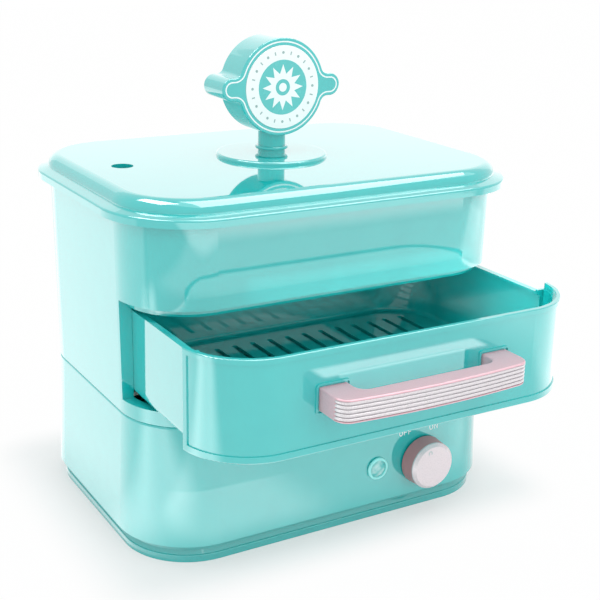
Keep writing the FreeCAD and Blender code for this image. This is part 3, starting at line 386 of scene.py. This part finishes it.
def make_sign_prints(materials):
    """The keyline, and on each badge a ring of ticks round a disc with a starburst."""
    low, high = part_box("sign_body")
    middle = (low[2] + high[2]) / 2
    for side, face, badge in ((-1, low[1], "sign_front_badge"), (1, high[1], "sign_rear_badge")):
        badge_low, badge_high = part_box(badge)
        badge_face = badge_low[1] if side < 0 else badge_high[1]
        badge_radius = (badge_high[0] - badge_low[0]) / 2
        word = "front" if side < 0 else "rear"

        def on_body(point, rise, face=face, side=side):
            return (-side * point[0], face + side * rise, middle + point[1])

        def on_badge(point, rise, face=badge_face, side=side):
            return (-side * point[0], face + side * rise, middle + point[1])

        bm = bmesh.new()
        outer = sign_outline(keyline_inset - keyline_width / 2)
        inner = sign_outline(keyline_inset + keyline_width / 2)
        band(bm, outer, inner, on_body, -print_rise, print_rise)
        mesh_piece(word + "_keyline", bm, materials["badge_white"], "lid")

        bm = bmesh.new()
        disc = badge_radius * badge_disc_share
        plate(bm, circle((0, 0), disc, 72), on_badge, -print_rise, print_rise)
        mesh_piece(word + "_badge_disc", bm, materials["print_aqua"], "lid")

        bm = bmesh.new()
        star = []
        for index in range(star_rays * 2):
            reach = disc * (star_tip_share if index % 2 == 0 else star_root_share)
            angle = math.pi * index / star_rays
            star.append((reach * math.sin(angle), reach * math.cos(angle)))
        hub = circle((0, 0), disc * star_hub_share, star_rays * 2)
        hub = [(y, x) for x, y in hub]
        band(bm, star, hub, on_badge, print_rise, 2 * print_rise)
        plate(bm, circle((0, 0), disc * star_eye_share, 24), on_badge, print_rise, 2 * print_rise)
        mesh_piece(word + "_badge_star", bm, materials["badge_white"], "lid")

        bm = bmesh.new()
        ring = badge_radius * badge_ring_share
        for index in range(tick_count):
            angle = 2 * math.pi * index / tick_count
            out = Vector((math.sin(angle), math.cos(angle)))
            if index % 2 == 0:
                dot = circle(out * ring, badge_radius * tick_dot_share, 16)
                plate(bm, dot, on_badge, -print_rise, print_rise)
            else:
                ends = [out * ring * (1 - tick_reach_share), out * ring * (1 + tick_reach_share)]
                stroke(bm, ends, badge_radius * tick_width_share, on_badge, -print_rise, print_rise)
        mesh_piece(word + "_badge_ticks", bm, materials["print_grey"], "lid")


def wall_place(point, rise):
    """A point of the base's front wall, from its X and Z, lifted off it by rise."""
    x, z = point
    y = -(wall_half_depth + wall_flare * (wall_top - z) / wall_height)
    return (x, y - rise, z)


def make_word(name, word, centre_x, centre_z, materials):
    """Thin printed capitals on the base's front wall."""
    total = sum(letter_widths[letter] for letter in word) * word_height + word_gap * (len(word) - 1)
    x = centre_x - total / 2
    bm = bmesh.new()
    for letter in word:
        for points in letter_lines[letter]:
            placed = [(x + px * word_height, centre_z + (pz - 0.5) * word_height) for px, pz in points]
            closed = letter in round_letters
            stroke(bm, placed, word_line, wall_place, -print_rise, print_rise, closed)
        x += letter_widths[letter] * word_height + word_gap
    mesh_piece(name, bm, materials["badge_white"], "base")


def make_switch_marks(materials):
    """The words OFF and ON above the knob and the small mark on the knob's face."""
    for name, word, centre_x, centre_z in switch_words:
        make_word(name, word, centre_x, centre_z, materials)
    low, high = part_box("knob_face_disc")
    centre_x, centre_z = (low[0] + high[0]) / 2, (low[2] + high[2]) / 2

    def on_face(point, rise):
        return (centre_x + point[0], low[1] - rise, centre_z + point[1])

    bm = bmesh.new()
    mark = arc((mark_x, mark_z), mark_radius, 200, -20, 14)
    mark = [(mark[0][0], mark[0][1] - mark_leg)] + mark + [(mark[-1][0], mark[-1][1] - mark_leg)]
    stroke(bm, mark, mark_line, on_face, -print_rise, print_rise)
    mesh_piece("knob_mark", bm, materials["print_grey"], "control_knob_set")


def noise(tree, scale, detail=2.0):
    """A noise texture over the object's own coordinates."""
    place = tree.nodes.new("ShaderNodeTexCoord")
    texture = tree.nodes.new("ShaderNodeTexNoise")
    texture.inputs["Scale"].default_value = scale
    texture.inputs["Detail"].default_value = detail
    tree.links.new(place.outputs["Object"], texture.inputs["Vector"])
    return texture.outputs["Fac"]


def spread(tree, value, low, high):
    """Maps a noise value onto a small range."""
    node = tree.nodes.new("ShaderNodeMapRange")
    node.inputs["From Min"].default_value = noise_low
    node.inputs["From Max"].default_value = noise_high
    node.inputs["To Min"].default_value = low
    node.inputs["To Max"].default_value = high
    tree.links.new(value, node.inputs["Value"])
    return node.outputs["Result"]


def tint(tree, shader, value, dark, light):
    """Colour that drifts between two close shades."""
    mix = tree.nodes.new("ShaderNodeMix")
    mix.data_type = "RGBA"
    mix.inputs["A"].default_value = dark
    mix.inputs["B"].default_value = light
    tree.links.new(value, mix.inputs["Factor"])
    tree.links.new(mix.outputs["Result"], shader.inputs["Base Color"])


def relief(tree, shader, value, height):
    """Bump of the given height in metres."""
    bump = tree.nodes.new("ShaderNodeBump")
    bump.inputs["Distance"].default_value = height
    bump.inputs["Strength"].default_value = 1.0
    tree.links.new(value, bump.inputs["Height"])
    tree.links.new(bump.outputs["Normal"], shader.inputs["Normal"])


def plastic(name, dark, light, rough, ior=1.5, coat=0.0, coat_ior=1.5, wave=0.02 * MM,
            grain=45.0):
    """Moulded plastic: a slight drift of colour and gloss and a very low swell."""
    material, tree, shader = new_material(name, IOR=ior, Coat_Weight=coat, Coat_IOR=coat_ior,
                                          Coat_Roughness=rough / 2)
    drift = noise(tree, grain)
    tint(tree, shader, spread(tree, drift, 0.0, 1.0), dark, light)
    patchy = spread(tree, noise(tree, grain * 3), rough * 0.8, rough * 1.2)
    tree.links.new(patchy, shader.inputs["Roughness"])
    relief(tree, shader, noise(tree, grain / 2, 1.0), wave)
    return material


def metal(name, dark, light, rough, grain=400.0, level=1.0, wave=0.01 * MM):
    """Metal or metallic paint with a fine grain."""
    material, tree, shader = new_material(name, Metallic=level)
    fine = noise(tree, grain, 3.0)
    tint(tree, shader, spread(tree, fine, 0.0, 1.0), dark, light)
    tree.links.new(spread(tree, fine, rough * 0.8, rough * 1.25), shader.inputs["Roughness"])
    relief(tree, shader, fine, wave)
    return material


# Finishes: name, its two close shades from 0 to 255, roughness and what else differs
gloss = {"ior": 1.7, "coat": 1.0, "coat_ior": 1.6, "wave": 0.05 * MM, "grain": 60.0}
pearl = {"grain": 2500.0, "wave": 0.002 * MM}
plastics = (
    ("aqua_plastic", (28, 187, 186), (32, 191, 189), 0.05, gloss),
    # The next finish is a darker copy of the aqua plastic: painted shade for the dark cove above the foot's
    # lip
    ("aqua_foot", (12, 172, 171), (16, 176, 174), 0.05, gloss),
    ("basin_plastic", (60, 180, 180), (66, 184, 184), 0.16, {}),
    ("tray_plastic", (64, 184, 184), (70, 188, 188), 0.14, {}),
    ("rubber", (34, 34, 35), (42, 42, 43), 0.7, {"wave": 0.04 * MM, "grain": 300}),
    ("silicone", (214, 212, 206), (222, 220, 214), 0.5, {"grain": 200}),
    ("inner_plastic", (224, 222, 214), (232, 230, 222), 0.4, {}),
    ("wire_cover", (206, 202, 190), (214, 210, 200), 0.5, {"grain": 200}),
    ("lamp_plastic", (140, 234, 231), (148, 240, 236), 0.06, {"coat": 1.0}),
    ("badge_white", (244, 247, 247), (249, 251, 251), 0.12, {"coat": 0.5}),
    ("print_aqua", (96, 196, 194), (102, 200, 198), 0.25, {}),
    ("print_grey", (150, 178, 176), (158, 184, 182), 0.35, {}),
)
metals = (
    ("screw_steel", (170, 170, 172), (196, 196, 198), 0.3, {}),
    ("plate_metal", (196, 197, 199), (214, 215, 217), 0.28, {}),
    ("element_steel", (140, 140, 142), (168, 168, 170), 0.35, {}),
    ("terminal_brass", (196, 160, 92), (214, 180, 110), 0.3, {}),
    ("shaft_metal", (176, 176, 178), (196, 196, 198), 0.3, {}),
    ("rose_plastic", (224, 182, 192), (230, 189, 198), 0.32, {"level": 0.1, **pearl}),
    ("rose_knob", (198, 132, 137), (205, 140, 144), 0.4, {"level": 0.0, **pearl}),
    ("silver_face", (219, 207, 211), (225, 213, 217), 0.3, {"level": 0.25, **pearl}),
    ("silver_rib", (210, 206, 209), (217, 213, 216), 0.3, {"level": 0.3, **pearl}),
)
# The lens colour drifts in blotches from the aqua up to near white: painted glints inside the clear dome
lens_dark = (96, 210, 208)
lens_glint_white = (222, 253, 251)
lens_clear = 0.12
lens_ior = 1.49
lens_rough = 0.04
lens_glint_grain = 260.0


def make_materials():
    """Every finish of the object, by the record's slot or its own name."""
    made = {}
    for finish, rows in ((plastic, plastics), (metal, metals)):
        for name, dark, light, rough, more in rows:
            made[name] = finish(name, colour(*dark), colour(*light), rough, **more)
    clear, tree, shader = new_material("lamp_clear", Transmission_Weight=lens_clear, IOR=lens_ior,
                                       Roughness=lens_rough)
    # painted glints: bright blotches stand in for highlights in the lens
    painted_glints = spread(tree, noise(tree, lens_glint_grain), 0.0, 1.0)
    tint(tree, shader, painted_glints, colour(*lens_dark), colour(*lens_glint_white))
    made["lamp_clear"] = clear
    return made


def make_floor():
    """A pale floor that keeps the object's soft shadow, with painted shade where its glow drops near the
    foot.
    """
    mesh = bpy.data.meshes.new("floor")
    bm = bmesh.new()
    bmesh.ops.create_grid(bm, x_segments=1, y_segments=1, size=floor_reach)
    bm.to_mesh(mesh)
    bm.free()
    floor = bpy.data.objects.new("floor", mesh)
    bpy.context.scene.collection.objects.link(floor)
    material, tree, shader = new_material("floor_white", Base_Color=(floor_grey, floor_grey, floor_grey, 1),
                                          Roughness=floor_rough, IOR=floor_ior)
    glow = tree.nodes.new("ShaderNodeEmission")
    glow.inputs["Color"].default_value = (1, 1, 1, 1)
    glow.inputs["Strength"].default_value = 1.0
    mix = tree.nodes.new("ShaderNodeMixShader")
    place = tree.nodes.new("ShaderNodeTexCoord")
    past = past_rectangle(tree, place.outputs["Object"], (0, 0, 0), foot_half_width, foot_half_depth)
    # the glow fades towards the foot: painted shade
    bright = smooth_step(tree, past, 0, floor_shade_reach, floor_glow_in_painted_shade, floor_glow_far)
    share = tree.nodes.new("ShaderNodeMath")
    share.operation = "MULTIPLY"
    tree.links.new(seen_ray(tree), share.inputs[0])
    tree.links.new(bright, share.inputs[1])
    tree.links.new(share.outputs[0], mix.inputs[0])
    tree.links.new(shader.outputs[0], mix.inputs[1])
    tree.links.new(glow.outputs[0], mix.inputs[2])
    tree.links.new(mix.outputs[0], tree.nodes["Material Output"].inputs["Surface"])
    mesh.materials.append(material)


bpy.context.scene.view_settings.view_transform = "Standard"
make_camera()
make_world()
make_lights()
make_floor()
materials = make_materials()
# Nodes that take a finish other than their slot's: the knob and the grip trim get their own colours, and
# the foot cover gets a darker aqua that is painted shade for the cove
own_finish_and_painted_shade = {
    "control_knob": "rose_knob",
    "base_bottom_cover": "aqua_foot",
    "handle_grip_trim": "silver_rib",
}
for row in frame["record"]["subparts"]:
    node = frame["nodes"][row["node"]]
    node.data.materials.clear()
    finish = own_finish_and_painted_shade.get(row["node"], row["material_slot"])
    node.data.materials.append(materials[finish])
make_sign_prints(materials)
make_switch_marks(materials)
